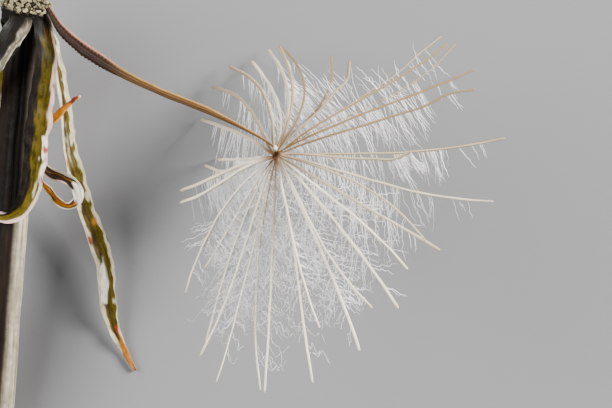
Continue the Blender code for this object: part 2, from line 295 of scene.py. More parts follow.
def strip_of(node, steps, clear):
    """Rows down the middle of a CAD bract: place, direction across, half width and cupping."""
    corners, edges = solid_of(node)
    knob = middle_of("receptacle")
    base = int(np.argmin(np.linalg.norm(corners - knob, axis=1)))
    tip = int(np.argmax(walk_from(base, corners, edges)))
    walked = walk_from(tip, corners, edges)
    cuts = cuts_along(walked.max() - walked, corners, edges, steps, clear)
    middles = np.array([cut.mean(axis=0) for cut in cuts])
    alongs = unit(np.gradient(middles, axis=0))
    stem_side = np.array([knob[0], middles[0][1], knob[2]])
    rows = []
    across = np.cross(alongs[0], middles[0] - stem_side)
    for cut, middle, along in zip(cuts, middles, alongs):
        spread = np.linalg.svd(cut - middle)
        flatness = spread[1][0] / max(spread[1][1], 1e-6)
        found = spread[2][0] * np.sign(spread[2][0] @ across)
        across = across + (found - across) * ease(1.25, 2.2, flatness)
        across = unit(across - along * (across @ along))
        face = np.cross(across, along)
        reach = (cut - middle) @ across
        half = np.ptp(reach) / 2
        rise = (cut - middle) @ face
        bend = np.polyfit((reach / half) ** 2, rise, 1)[0]
        rows.append((*middle, *across, half, bend * ease(1.25, 2.2, flatness)))
    rows = np.array(rows)
    padded = np.vstack([rows[:1], rows, rows[-1:]])
    calm = (padded[:-2] + 2 * padded[1:-1] + padded[2:]) / 4
    calm[0], calm[-1] = rows[0], rows[-1]
    calm = out_to_ends(calm, clear)
    calm[:, 6] = np.maximum(calm[:, 6], NARROWEST)
    return calm


# Building meshes


def tubes(rings):
    """Points and faces of closed tubes. rings is tubes x rings x points of a ring x 3."""
    count, long, around = rings.shape[:3]
    index = np.arange(count * long * around).reshape(count, long, around)
    turned = np.roll(index, -1, axis=2)
    sides = np.stack([index[:, :-1], turned[:, :-1], turned[:, 1:], index[:, 1:]], axis=-1)
    faces = [sides.reshape(-1, 4), index[:, 0, ::-1], index[:, -1]]
    return rings.reshape(-1, 3), faces


def ring_axes(lines, upright):
    """For lines of points, each point's two directions across: near upright, and square to it."""
    along = unit(np.gradient(lines, axis=-2))
    first = unit(upright - along * dot(upright, along))
    return first, np.cross(along, first)


def places_at(*parts):
    """Arrays of numbers that fit together, as the coordinates of places."""
    return np.stack(np.broadcast_arrays(*parts), axis=-1)


def ring_angles(sides):
    return np.arange(sides) * 2 * math.pi / sides


def ring_offsets(turn, first, second):
    """From the middle of each ring to its points, for a radius of 1."""
    return first[..., None, :] * np.cos(turn)[:, None] + second[..., None, :] * np.sin(turn)[:, None]


def ring_places(turn, along, radius=1.0):
    """Places on a straight tube, rings x points x 3, where wobbles and grain are read."""
    return places_at(radius * np.cos(turn), radius * np.sin(turn), along[:, None])


def ring_map(turn, shares, left, width):
    """A tube's places in a texture: round it goes from left to right, and along it upwards."""
    around = np.tile(left + width * turn / 2 / math.pi, len(shares))
    return np.column_stack([around, np.repeat(shares, len(turn))])


def mesh_of(name, points, faces, tints, grain, materials, kinds=None, map_places=None):
    """A mesh from places in millimetres and arrays of faces, with a tint and a grain at each point."""
    mesh = bpy.data.meshes.new(name)
    sizes = np.concatenate([np.full(len(group), group.shape[1]) for group in faces])
    corners = np.concatenate([group.ravel() for group in faces])
    mesh.vertices.add(len(points))
    mesh.vertices.foreach_set("co", (points * MM).astype(np.float32).ravel())
    mesh.loops.add(len(corners))
    mesh.loops.foreach_set("vertex_index", corners.astype(np.int32))
    mesh.polygons.add(len(sizes))
    starts = np.concatenate([[0], np.cumsum(sizes)[:-1]])
    mesh.polygons.foreach_set("loop_start", starts.astype(np.int32))
    if kinds is not None:
        mesh.polygons.foreach_set("material_index", kinds.astype(np.int32))
    mesh.update(calc_edges=True)
    mesh.validate()
    mesh.shade_smooth()
    tint = mesh.color_attributes.new("tint", "FLOAT_COLOR", "POINT")
    tint.data.foreach_set("color", np.column_stack([tints, np.ones(len(tints))]).ravel())
    fibres = mesh.attributes.new("grain", "FLOAT_VECTOR", "POINT")
    fibres.data.foreach_set("vector", grain.astype(np.float32).ravel())
    if map_places is not None:
        layer = mesh.uv_layers.new(name="OFBake")
        layer.uv.foreach_set("vector", map_places[corners].astype(np.float32).ravel())
    for material in materials:
        mesh.materials.append(material)
    return mesh


def piece(name, mesh, node):
    """Puts a mesh in the scene as the piece that stands for a CAD node."""
    made = bpy.data.objects.new(name, mesh)
    bpy.context.scene.collection.objects.link(made)
    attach(made, "root")
    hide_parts(node)
    return made


# Materials


class Nodes:
    """Short ways to add nodes to a material."""

    def __init__(self, name):
        self.material = bpy.data.materials.new(name)
        self.material.use_nodes = True
        self.tree = self.material.node_tree
        self.shader = self.tree.nodes["Principled BSDF"]

    def add(self, kind, **settings):
        node = self.tree.nodes.new(kind)
        for key, value in settings.items():
            setattr(node, key, value)
        return node

    def link(self, source, target):
        self.tree.links.new(source, target)

    def attribute(self, name, output):
        return self.add("ShaderNodeAttribute", attribute_name=name).outputs[output]

    def scaled(self, vector, scales):
        node = self.add("ShaderNodeMapping")
        node.inputs["Scale"].default_value = scales
        self.link(vector, node.inputs["Vector"])
        return node.outputs["Vector"]

    def noise(self, vector, scale, detail=3.0, roughness=0.55):
        node = self.add("ShaderNodeTexNoise")
        node.inputs["Scale"].default_value = scale
        node.inputs["Detail"].default_value = detail
        node.inputs["Roughness"].default_value = roughness
        self.link(vector, node.inputs["Vector"])
        return node.outputs["Fac"]

    def spread(self, value, low, high):
        """A noise value from its usual range to low..high."""
        node = self.add("ShaderNodeMapRange")
        node.inputs["From Min"].default_value = 0.3
        node.inputs["From Max"].default_value = 0.7
        node.inputs["To Min"].default_value = low
        node.inputs["To Max"].default_value = high
        self.link(value, node.inputs["Value"])
        return node.outputs["Result"]

    def times(self, first, second):
        node = self.add("ShaderNodeMath", operation="MULTIPLY")
        self.link(first, node.inputs[0])
        self.link(second, node.inputs[1])
        return node.outputs[0]

    def shade(self, tone, amount):
        """A colour made lighter or darker by a number."""
        node = self.add("ShaderNodeVectorMath", operation="SCALE")
        self.link(tone, node.inputs[0])
        self.link(amount, node.inputs["Scale"])
        return node.outputs["Vector"]

    def bump(self, height, distance, after=None):
        node = self.add("ShaderNodeBump")
        node.inputs["Distance"].default_value = distance * MM
        node.inputs["Strength"].default_value = 1.0
        self.link(height, node.inputs["Height"])
        if after is not None:
            self.link(after, node.inputs["Normal"])
        return node.outputs["Normal"]


def plant_material(name, streaks, streak_shade, mottle, mottle_shade, roughness, bump):
    """A dry plant surface: its own tints, streaked along the fibres and mottled, with fine relief."""
    nodes = Nodes(name)
    grain = nodes.attribute("grain", "Vector")
    tint = nodes.attribute("tint", "Color")
    fibres = nodes.noise(nodes.scaled(grain, streaks), 1.0, detail=4.0)
    patches = nodes.noise(grain, mottle, detail=5.0, roughness=0.65)
    amount = nodes.times(
        nodes.spread(fibres, *streak_shade), nodes.spread(patches, *mottle_shade)
    )
    nodes.link(nodes.shade(tint, amount), nodes.shader.inputs["Base Color"])
    nodes.link(nodes.spread(patches, *roughness), nodes.shader.inputs["Roughness"])
    relief = nodes.bump(patches, bump[1], nodes.bump(fibres, bump[0]))
    nodes.link(relief, nodes.shader.inputs["Normal"])
    nodes.shader.inputs["Specular IOR Level"].default_value = 0.12
    return nodes


def make_materials():
    made = {
        "bristle": plant_material(
            "dry_bristle", (7, 7, 0.5), (0.82, 1.14), 2.2, (0.88, 1.1), (0.32, 0.5), (0.02, 0.008)
        ),
        "hair": plant_material(
            "pappus_hair", (3, 3, 0.6), (0.9, 1.08), 1.5, (0.92, 1.05), (0.42, 0.6), (0.003, 0.002)
        ),
        "stem": plant_material(
            "weathered_stem", (3.4, 3.4, 0.22), (0.55, 1.35), 1.3, (0.72, 1.25), (0.55, 0.85), (0.09, 0.05)
        ),
        "bract": plant_material(
            "withered_bract", (6.0, 6.0, 0.4), (0.7, 1.25), 1.7, (0.75, 1.2), (0.38, 0.7), (0.04, 0.035)
        ),
        "achene": plant_material(
            "beaked_seed", (9, 9, 0.8), (0.7, 1.25), 3.0, (0.8, 1.15), (0.4, 0.65), (0.03, 0.02)
        ),
        "collar": plant_material(
            "hub_collar", (5, 5, 5), (0.75, 1.2), 6.0, (0.8, 1.15), (0.45, 0.7), (0.02, 0.02)
        ),
        "knob": plant_material(
            "seed_scars", (2.5, 2.5, 2.5), (0.8, 1.15), 5.0, (0.7, 1.2), (0.6, 0.9), (0.05, 0.05)
        ),
    }
    hair = made["hair"].shader
    hair.inputs["Subsurface Weight"].default_value = 0.25
    hair.inputs["Subsurface Radius"].default_value = (0.0004, 0.00038, 0.00035)
    made["bristle"].shader.inputs["Subsurface Weight"].default_value = 0.12
    made["bristle"].shader.inputs["Subsurface Radius"].default_value = (0.0003, 0.0002, 0.0001)
    return {key: nodes.material for key, nodes in made.items()}


# The umbrella


def umbrella_axis():
    """The way the umbrella opens: the short axis of its collar, pointing away from the seed."""
    corners = solid_of("pappus_collar")[0]
    axis = np.linalg.svd(corners - corners.mean(axis=0))[2][2]
    return axis * np.sign(axis @ (HUB - middle_of("achene")))


def from_hub(corners):
    return np.linalg.norm(corners - HUB, axis=1)


def bristle(line, radii, sideways, rng):
    """The rings of one ray's bristle: a slightly flattened rod with shallow ribs."""
    turn = ring_angles(BRISTLE_SIDES)
    wide, deep = ring_axes(line, sideways)
    ribs = BRISTLE_RIB * np.cos(BRISTLE_RIBS * turn + rng.uniform(0, 6))
    shape = 1 + BRISTLE_FLATNESS * np.cos(2 * turn) + ribs
    places = ring_places(turn, lengths_along(line) * 0.6)
    size = radii[:, None] * shape * (1 + 0.09 * wobble(rng, places, 1.4))
    return line[:, None] + ring_offsets(turn, wide, deep) * size[..., None]


def hair_roots(number, length, lean, rng):
    """Where along a ray its hairs start, as shares of its length."""
    to = NEAR_TIP if length < SHORT_RAY else HAIRY_TO
    left_veil = ease(0.1, 0.4, -lean[0]) * ease(-0.1, 0.0, -lean[1])
    crowded = ease(0.6, 0.9, -lean[2]) * ease(0.0, 0.3, lean[1])
    thick = 1 + VEIL_DENSER * left_veil - LOWER_SPARSER * ease(0.3, 0.8, -lean[1])
    thick -= CROWDED_SPARSER * crowded
    thick -= RIGHT_SPARSER * ease(0.4, 0.8, lean[0])
    count = int(HAIRS_PER_MM * thick * length * (to - HAIRY_FROM))
    shares = HAIRY_FROM + (to - HAIRY_FROM) * rng.random(count) ** SPARSE_AT_HUB
    strays = rng.uniform(HAIRY_TO, STRAYS_TO, STRAYS)
    where, tuft = TUFTS.get(number, (0.5, 0))
    tufted = np.clip(rng.normal(where, TUFT_SPREAD, tuft), HAIRY_FROM, NEAR_TIP)
    return np.sort(np.concatenate([shares, strays, tufted]))


def hairs(number, line, radii, inward, rng):
    """Middle lines of a ray's side hairs, and how far along each hair's points are."""
    along = lengths_along(line)
    length = along[-1]
    lean = unit(line[-1] - line[0])
    in_plan = unit(lean[:2])
    shares = hair_roots(number, length, lean, rng)
    at = shares * length

    def read(table):
        return np.column_stack([np.interp(at, along, column) for column in table.T])

    # Which side of the ray each hair grows on
    right = ease(*COMBED_TURN, read(line)[:, 0] - HUB[0])
    wind = np.radians(COMBED_LEFT + (COMBED_RIGHT - COMBED_LEFT) * right)
    forward = unit(read(unit(np.gradient(line, axis=0))))
    leftward = unit(np.cross((0.0, 0.0, 1.0), forward))
    downwind = np.cos(wind) * leftward[:, 0] + np.sin(wind) * leftward[:, 1]
    fringed = ease(*FRINGE_ALIGNED, in_plan @ TOWARDS_FRINGE) * (shares > FRINGE_FROM)
    one_side = np.clip(LEE_SHARPNESS * downwind, -1, 1) * (0.5 - FRINGE_SHARE * fringed)
    sides = np.where(rng.random(len(at)) < 0.5 + one_side, 1.0, -1.0)
    fringe = (sides * downwind < 0) & (fringed > 0.5)

    # Where they start: at the ray's side, and a little below its middle
    across = leftward * sides[:, None]
    behind = unit(unit(read(inward)) - np.array((0.0, 0.0, HAIRS_BELOW)))
    thick = np.interp(at, along, radii)[:, None]
    roots = read(line) + across * thick * 0.9 + behind * thick * 0.5

    # Their clumps
    clump = np.floor(at / CLUMP_SPAN).astype(int) * 2 + (sides > 0)
    shared = rng.normal(size=(clump.max() + 1, 6))[clump]
    own = rng.normal(size=(len(at), 6))
    random = shared * CLUMP_ALIKE + own * HAIR_OWN
    total = np.zeros((clump.max() + 1, 4))
    np.add.at(total, clump, np.column_stack([roots, np.ones(len(at))]))
    gathered = total[clump, :3] / total[clump, 3:] - roots

    # Which way they head: square to the ray and a little forward, but blown aside and drooping
    tilt = np.radians(np.clip(HAIR_TILT + TILT_VARIES * random[:, 1], *TILT_LIMITS))
    heading = across * np.cos(tilt)[:, None] + forward * np.sin(tilt)[:, None]
    wind = wind + math.pi * fringe + COMBED_SPREAD * random[:, 4]
    combed = np.column_stack([np.cos(wind), np.sin(wind), np.zeros(len(at))])
    strength = COMBED + COMBED_MORE * ease(0.3, 0.9, in_plan[1])
    heading = heading * (1 - strength) + combed * strength
    droop = HAIR_DROOP * (1 + FRINGE_DROOP * fringe)
    heading[:, 2] = -np.abs(heading[:, 2]) - droop - 0.15 * np.abs(random[:, 2])
    heading = unit(heading)

    # Their lengths, bends and waves
    reach = ease(0.0, 0.25, shares) * 0.75 + 0.25
    reach *= 1 - 0.4 * ease(0.6, 0.9, shares)
    long = HAIR_LENGTH * reach * np.exp(LENGTH_VARIES * random[:, 0])
    t = np.linspace(0, 1, HAIR_POINTS)[None, :, None]
    size = long[:, None, None]
    bend = forward * (HAIR_BEND * random[:, 3:4]) - np.array((0.0, 0.0, 0.5 * HAIR_DROOP))
    points = roots[:, None] + heading[:, None] * size * t + bend[:, None] * size * t**2
    points = points + gathered[:, None] * CLUMP_GATHER * t
    lowest = max(0.0, -lean[1]) ** 1.5
    curl = (CURL + CURL_LOWEST * lowest) * np.exp(0.4 * own[:, 5])[:, None, None]
    for direction, wavelength in zip((forward, behind, forward), CURL_WAVES):
        phase = rng.uniform(0, 2 * math.pi, (len(at), 1, 1))
        waves = size / wavelength * rng.uniform(0.7, 1.3, (len(at), 1, 1))
        swing = np.sin(2 * math.pi * waves * t + phase) - np.sin(phase)
        points = points + direction[:, None] * curl * swing * np.minimum(t * 3, 1)
    return points, t


def ray_tints(shares, turn, lean, rng):
    """A bristle's colours: brown at the hub, then golden or cream by where the ray points. The golden tone
    of the rays that point up and right is partly their own browner colour and partly painted shade.
    """
    brown, golden, cream = colour(98, 70, 34), colour(120, 95, 56), colour(244, 233, 208)
    # Partly painted shade: rays that point up and right are painted golden, as if seen from their shaded
    # side
    golden_and_shaded_side = ease(-0.5, 0.6, lean[0] * 0.5 + lean[1] * 0.8 + rng.normal() * 0.2)
    lowest = math.exp(-(((lean[0] + 0.1) / 0.25) ** 2)) * ease(0.6, 0.9, -lean[1])
    gilded = golden_and_shaded_side * 0.95 + 0.85 * lowest * (1 - ease(0.2, 0.65, shares))
    body = mix(cream, golden, np.minimum(gilded, 0.95))[:, None]
    tints = mix(brown, body, ease(0.0, 0.16 + 0.25 * golden_and_shaded_side, shares)[:, None])
    pale_rib = 0.22 * ease(0.2, 0.9, np.cos(turn - rng.uniform(0, 6.3)))
    tints = mix(tints, cream, pale_rib)
    return mix(tints, colour(140, 118, 88), 0.35 * ease(0.9, 1.0, shares)[:, None])


def make_ray(node, materials):
    """A feathered ray: its bristle and its side hairs."""
    number = int(node[-2:])
    rng = np.random.default_rng([SEED, number])
    rod = rod_of(node, from_hub, RAY_STEPS, CLEAR_OF_ENDS["ray"])
    rod[0, :3] = HUB + (rod[0, :3] - HUB) * RAY_FOOT
    length = lengths_along(rod[:, :3])[-1]
    rod = smooth(rod, int(length / BRISTLE_STEP))
    line, radii = rod[:, :3].copy(), rod[:, 3].copy()
    for _ in range(ROUNDING):
        line[1:-1] = (line[:-2] + 2 * line[1:-1] + line[2:]) / 4
    line = line + RAY_WAVER * np.column_stack([wobble(rng, line, 3.0) for _ in range(3)])
    lean = unit(line[-1] - line[0])
    shares = np.linspace(0, 1, len(line))
    radii *= RAY_WIDTH + STEEP_WIDER * ease(0.6, 0.85, -lean[2]) + TIP_WIDER * shares**2
    radii[-2:] *= (0.9, 0.6)
    forward = unit(np.gradient(line, axis=0))
    sideways = unit(np.cross(AXIS, forward))
    inward = np.cross(forward, sideways)

    points, faces = tubes(bristle(line, radii, sideways, rng)[None])
    turn = ring_angles(BRISTLE_SIDES)
    along = lengths_along(line)
    tints = ray_tints(shares, turn, lean, rng).reshape(-1, 3)
    grain = ring_places(turn, along + 40 * number).reshape(-1, 3)
    spots = ring_map(turn, along / along[-1], *BRISTLE_MAP)

    lines, t = hairs(number, line, radii, inward, rng)
    first, second = ring_axes(lines, np.broadcast_to(inward.mean(axis=0), lines.shape))
    corner = ring_angles(HAIR_SIDES)
    thickness = HAIR_RADIUS * (1 - 0.6 * t) * np.exp(rng.normal(0, 0.25, (len(lines), 1, 1)))
    hair_rings = lines[:, :, None] + ring_offsets(corner, first, second) * thickness[..., None]
    hair_points, hair_faces = tubes(hair_rings)
    tone = np.clip(0.9 + 0.07 * rng.normal(size=(len(lines), 1)), 0.7, 1.0)
    white = mix(colour(255, 252, 246), colour(246, 248, 255), rng.random((len(lines), 1)))
    at_root = 0.5 * (1 - ease(0, 0.15, t[..., 0]))
    shaded = mix(white * tone[..., None], colour(214, 190, 156), at_root)
    hair_tints = np.repeat(shaded.reshape(-1, 3), HAIR_SIDES, axis=0)
    hair_grain = np.repeat(lines.reshape(-1, 3), HAIR_SIDES, axis=0)
    hair_shares = np.broadcast_to(0.02 + 0.96 * t[..., 0], lines.shape[:2]).ravel()
    hair_spots = ring_map(corner, hair_shares, *HAIR_MAP)

    sizes = [sum(len(group) for group in faces), sum(len(group) for group in hair_faces)]
    mesh = mesh_of(
        f"feathered_{node}",
        np.vstack([points, hair_points]),
        faces + [group + len(points) for group in hair_faces],
        np.vstack([tints, hair_tints]),
        np.vstack([grain, hair_grain]),
        [materials["bristle"], materials["hair"]],
        np.repeat([0, 1], sizes),
        np.vstack([spots, hair_spots]),
    )
    piece(f"feathered_{node}", mesh, node)


def make_collar(materials):
    """The hub: a lobed disc, dark in the middle and browner round its rim."""
    rng = np.random.default_rng([SEED, 100])
    low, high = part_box("pappus_collar")
    radius = (high - low).length / MM / COLLAR_RADII
    turn = ring_angles(COLLAR_SIDES)
    level = np.linspace(-1, 1, COLLAR_RINGS)
    side = unit(np.cross(AXIS, np.array((0.0, 0.0, 1.0))))
    up = np.cross(AXIS, side)
    reach = np.sqrt(np.maximum(1 - np.abs(level) ** 2.6, 0.0))
    lobe = np.cos(COLLAR_LOBES * turn)
    lobes = 1 + 0.13 * lobe * (reach**2)[:, None]
    dip = -0.2 * np.exp(-((reach / 0.45) ** 2)) * np.sign(level)
    rough = 1 + 0.05 * wobble(rng, ring_places(turn, level), 0.35)
    size = radius * COLLAR_REACH * reach[:, None] * lobes * rough
    middles = HUB + AXIS * ((level * COLLAR_DEPTH + dip) * radius)[:, None]
    rings = middles[:, None] + ring_offsets(turn, side, up) * size[..., None]
    for pole, beside in ((0, 1), (-1, -2)):  # the poles would be single points
        rings[pole] = rings[pole].mean(axis=0) + 1e-3 * (rings[beside] - rings[beside].mean(axis=0))
    points, faces = tubes(rings[None])
    dark, pale = colour(46, 25, 11), colour(110, 74, 36)
    tints = mix(dark, pale, ease(0.55, 1.0, reach)[:, None] * (0.6 + 0.4 * lobe)).reshape(-1, 3)
    mesh = mesh_of("hub_collar", points, faces, tints, points - HUB, [materials["collar"]])
    piece("hub_collar", mesh, "pappus_collar")


# The seed


def make_achene(materials):
    """The seed: a ribbed body with rows of small teeth, drawn out into a long finely striped beak."""
    rng = np.random.default_rng([SEED, 101])
    rod = rod_of("achene", from_hub, BEAK_STEPS, CLEAR_OF_ENDS["achene"])[::-1]
    rod[-1, :3] = HUB + (rod[-1, :3] - HUB) * BEAK_FOOT
    rod = smooth(rod, ACHENE_RINGS)
    line, radii = rod[:, :3], rod[:, 3]
    along = lengths_along(line)
    share = along / along[-1]
    hooked = ease(0.75, 0.975, share) * (1 - ease(0.978, 1.0, share))
    line = line + hooked[:, None] * BEAK_HOOK
    swelling = np.exp(-(((share - SWELLING_AT) / SWELLING_SPAN) ** 2))
    radii = radii * (1 - 0.4 * ease(0.7, 0.95, share) + 0.5 * swelling)
    turn = ring_angles(ACHENE_SIDES)
    first, second = ring_axes(line, np.broadcast_to((0.0, 0.0, 1.0), line.shape))
    body = (1 - ease(*SEED_TO_BEAK, share))[:, None]
    crest = np.cos(ACHENE_RIBS / 2 * turn) ** 2
    stripe = np.cos(BEAK_STRIPES * turn)
    ribs = 0.16 * body * (crest - 0.5) + 0.05 * (1 - body) * stripe
    rows = np.floor(turn / (2 * math.pi) * ACHENE_RIBS + 0.5) % ACHENE_RIBS
    tooth = ((along[:, None] + rows * TEETH_SHIFT) / TEETH_STEP) % 1
    spikes = np.maximum(0, 1 - np.abs(tooth - 0.75) / 0.3) * crest**3
    teeth = 0.17 * spikes * (ease(0.02, 0.08, share) * (1 - ease(0.24, 0.4, share)))[:, None]
    rough = 0.04 * wobble(rng, ring_places(turn, along * 0.5), 0.8)
    size = radii[:, None] * (1 + ribs + teeth + rough)
    offsets = ring_offsets(turn, first, second)
    points, faces = tubes((line[:, None] + offsets * size[..., None])[None])

    dull, groove, tan = colour(50, 32, 21), colour(20, 12, 7), colour(168, 124, 100)
    brown, honey = colour(72, 46, 16), colour(170, 134, 80)
    cream, dark = colour(240, 226, 196), colour(46, 25, 11)
    # Painted highlight: the upper right side of the seed and its teeth is painted tan, and of the beak
    # honey, with the beak's other side left brown as shade; the tan is partly the seed's own pinkish colour
    lit = offsets @ unit(np.array((0.5, 0.85, 0.1)))
    painted_highlight = ease(0.78, 0.99, lit) + 0.35 * spikes * ease(-0.2, 0.9, lit)
    # Painted shade: the grooves between the ribs are painted near black
    seed = mix(groove, dull, np.clip(crest * 0.8 + 0.2, 0, 1))
    seed = mix(seed, tan, np.clip(painted_highlight, 0, 0.95))
    beak = mix(brown, honey, np.clip(0.25 * stripe + 0.85 * ease(0.4, 0.95, lit), 0, 1))
    beak = mix(beak, cream, ease(0.966, 0.976, share)[:, None])
    beak = mix(beak, dark, ease(0.981, 0.989, share)[:, None])
    tints = mix(beak, seed, body).reshape(-1, 3)
    grain = ring_places(turn, along).reshape(-1, 3)
    mesh = mesh_of("beaked_achene", points, faces, tints, grain, [materials["achene"]])
    piece("beaked_achene", mesh, "achene")


# The stem and the knob


def make_stem(materials):
    """The stalk: grooved and weathered, with a cut end whose pith has shrunk."""
    rng = np.random.default_rng([SEED, 102])
    rod = rod_of("stem", lambda corners: corners[:, 1], STEM_STEPS, CLEAR_OF_ENDS["stem"])
    rod = smooth(rod, STEM_RINGS)
    line, radii = rod[:, :3], rod[:, 3]
    along = lengths_along(line)
    turn = ring_angles(STEM_SIDES)
    circle = places_at(np.cos(turn), np.sin(turn))
    first, second = ring_axes(line, np.broadcast_to((0.0, 0.0, 1.0), line.shape))
    drift = wobble(rng, ring_places(turn, along * 0.12, STEM_GRAIN), 1.6)
    groove = np.abs(np.sin(STEM_GROOVES / 2 * turn + 0.5 * drift)) ** 0.7
    size = radii[:, None] * (0.965 + 0.07 * (groove - 0.6) + 0.02 * drift)
    size = size - 0.04 * (1 - groove) ** 4
    offsets = ring_offsets(turn, first, second)
    shell = line[:, None] + offsets * size[..., None]
    into = unit(line[1] - line[0])
    ragged = 0.22 * wobble(rng, circle, 0.35)
    shell[0] += into * (ragged - ragged.min())[:, None]
    pith = []
    for width, depth in DARK_PITH + PALE_PITH:
        uneven = 1 + 0.06 * wobble(rng, circle, 0.6)
        pith.append(line[0] + into * depth + offsets[0] * (size[0] * width * uneven)[:, None])
    points, faces = tubes(np.concatenate([np.array(pith), shell])[None])

    dark, brown, grey = colour(11, 7, 4), colour(42, 27, 14), colour(176, 164, 142)
    # Painted highlight: the stem's side that faces the key light, towards +X and up, is painted pale grey,
    # more on the ridges and most further down
    sunny = offsets @ unit(np.array((0.95, 0.0, 0.45)))
    painted_lit_side = ease(0.5, 0.85, sunny + 0.12 * drift)
    below = ease(LIT_SIDE_BELOW - 1, LIT_SIDE_BELOW - 4, line[:, 1] - HUB[1])[:, None]
    bark = mix(dark, brown, np.clip(0.3 + 0.5 * drift * groove, 0, 1))
    bark = mix(bark, grey, painted_lit_side * (0.5 + 0.5 * groove) * (0.12 + 0.88 * below))
    inner = [colour(40, 26, 16)] * len(DARK_PITH) + [colour(150, 128, 96)] * len(PALE_PITH)
    inner = np.repeat(np.array(inner)[:, None], STEM_SIDES, axis=1)
    tints = np.concatenate([inner, bark]).reshape(-1, 3)
    grain = ring_places(turn, np.concatenate([np.linspace(-2, -0.3, len(pith)), along]), STEM_GRAIN)
    mesh = mesh_of("weathered_stem", points, faces, tints, grain.reshape(-1, 3), [materials["stem"]])
    piece("weathered_stem", mesh, "stem")


def knob_centres(rng):
    """Unit directions of the seed scars, in a sunflower spiral about +Y, each a little out of place."""
    index = np.arange(KNOB_BUMPS)
    lift = 1 - KNOB_COVER * (index + 0.5) / KNOB_BUMPS
    ring = np.sqrt(1 - lift**2)
    turn = index * GOLDEN_TURN
    spots = np.column_stack([ring * np.cos(turn), lift, ring * np.sin(turn)])
    return unit(spots + rng.normal(0, 0.034, spots.shape))


def make_knob(materials):
    """The receptacle: a low dome packed with pale warty seed scars, with painted shade between them and
    beneath them.
    """
    rng = np.random.default_rng([SEED, 103])
    low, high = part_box("receptacle")
    middle, radii = np.array((low + high) / 2) / MM, np.array((high - low) / 2) / MM - KNOB_INSIDE
    shape = bmesh.new()
    bmesh.ops.create_icosphere(shape, subdivisions=KNOB_SUBDIVISIONS, radius=1)
    ball = np.array([vertex.co for vertex in shape.verts])
    faces = np.array([[vertex.index for vertex in face.verts] for face in shape.faces])
    shape.free()
    under = np.clip(-ball[:, 1], 0, 0.999)
    fuller = (1 - under**KNOB_FULLNESS) ** (1 / KNOB_FULLNESS) / np.sqrt(1 - under**2)
    scars = knob_centres(rng)
    sizes = rng.uniform(0.75, 1.2, KNOB_BUMPS)
    heights = rng.uniform(0.3, 1.2, KNOB_BUMPS)
    shifted = unit(ball + 0.03 * np.column_stack([wobble(rng, ball, 0.16) for _ in range(3)]))
    gaps = np.arccos(np.clip(shifted @ scars.T, -1, 1)) / (KNOB_BUMP * sizes)
    nearest = gaps.argmin(axis=1)
    gap = gaps.min(axis=1)
    lump = np.sqrt(np.clip(1 - gap**2, 0, 1)) * heights[nearest]
    pit = np.exp(-((gap / 0.32) ** 2))
    scar_and_shade_edge = -0.35 + 0.5 * np.clip(-ball[:, 0], 0, 1)  # the scars reach less far down at the left, and the painted shade under them reaches higher there
    crowned = ease(0, 0.25, ball[:, 1] - scar_and_shade_edge)
    rough = wobble(rng, ball, 0.09) * 0.035 + wobble(rng, ball, 0.3) * 0.06
    rise = crowned * (0.4 * lump - 0.16 * pit * heights[nearest]) + rough
    round_form = ball * np.column_stack([fuller, np.ones(len(ball)), fuller])
    points = middle + round_form * radii + unit(ball * radii) * rise[:, None]
    shade_between_scars, underside_shade = colour(16, 11, 5), colour(9, 6, 4)
    cream, tan = colour(168, 157, 122), colour(92, 74, 44)
    # Painted shade: the gaps between the scars are painted near black
    tints = mix(shade_between_scars, cream, ease(0.25, 0.8, lump) * rng.uniform(0.4, 1, KNOB_BUMPS)[nearest])
    tints = mix(tints, tan, 0.7 * pit * ease(0.2, 0.6, lump))
    # Painted shade: the underside below the scars is painted near black
    tints = mix(underside_shade, tints, crowned)
    mesh = mesh_of("knobbly_receptacle", points, [faces], tints, points - middle, [materials["knob"]])
    piece("knobbly_receptacle", mesh, "receptacle")


